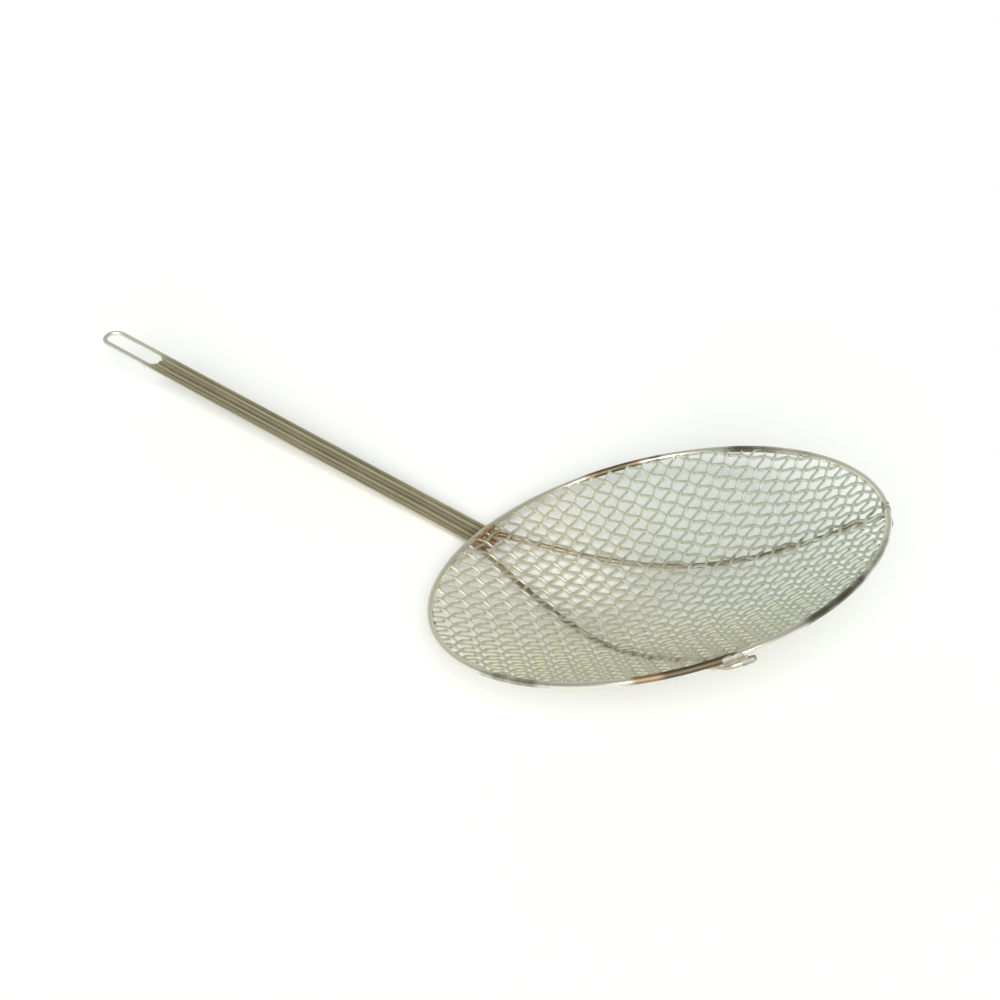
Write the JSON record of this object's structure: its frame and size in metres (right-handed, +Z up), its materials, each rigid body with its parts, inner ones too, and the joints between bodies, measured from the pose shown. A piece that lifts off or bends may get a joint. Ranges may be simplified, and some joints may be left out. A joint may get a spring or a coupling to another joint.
{
  "type": "skimmer",
  "caption": "Round wire skimmer: a shallow mesh bowl in a wire hoop, carried by ribs and a long flat handle of parallel wires that ends in a hanging loop.",
  "frame": {"origin": "on the table that the skimmer lies on, below the middle of its box", "axes": "+X along the handle from the hanging loop towards the bowl, +Y across the handle, +Z up from the table, with the skimmer tipped back on its ribs as it comes to rest"},
  "size_m": [0.4444, 0.203, 0.0666],
  "materials": {
    "hoop": "plated steel wire, bright, with brown heat tint near its joints",
    "mesh": "tinned steel cloth, satin, pale grey green",
    "frame": "plated steel wire, satin, olive grey, browned along the ribs",
    "braze": "brazing metal, dull brown with copper tint"
  },
  "bodies": {
    "root": {"rim_hoop": "hoop", "mesh_bowl": "mesh", "frame_wire": "frame", "handle_wire_left": "frame", "handle_wire_middle": "frame", "handle_wire_right": "frame", "handle_braze": "braze", "loop_braze": "braze", "rib_braze_left": "braze", "rib_braze_right": "braze"}
  },
  "joints": []
}
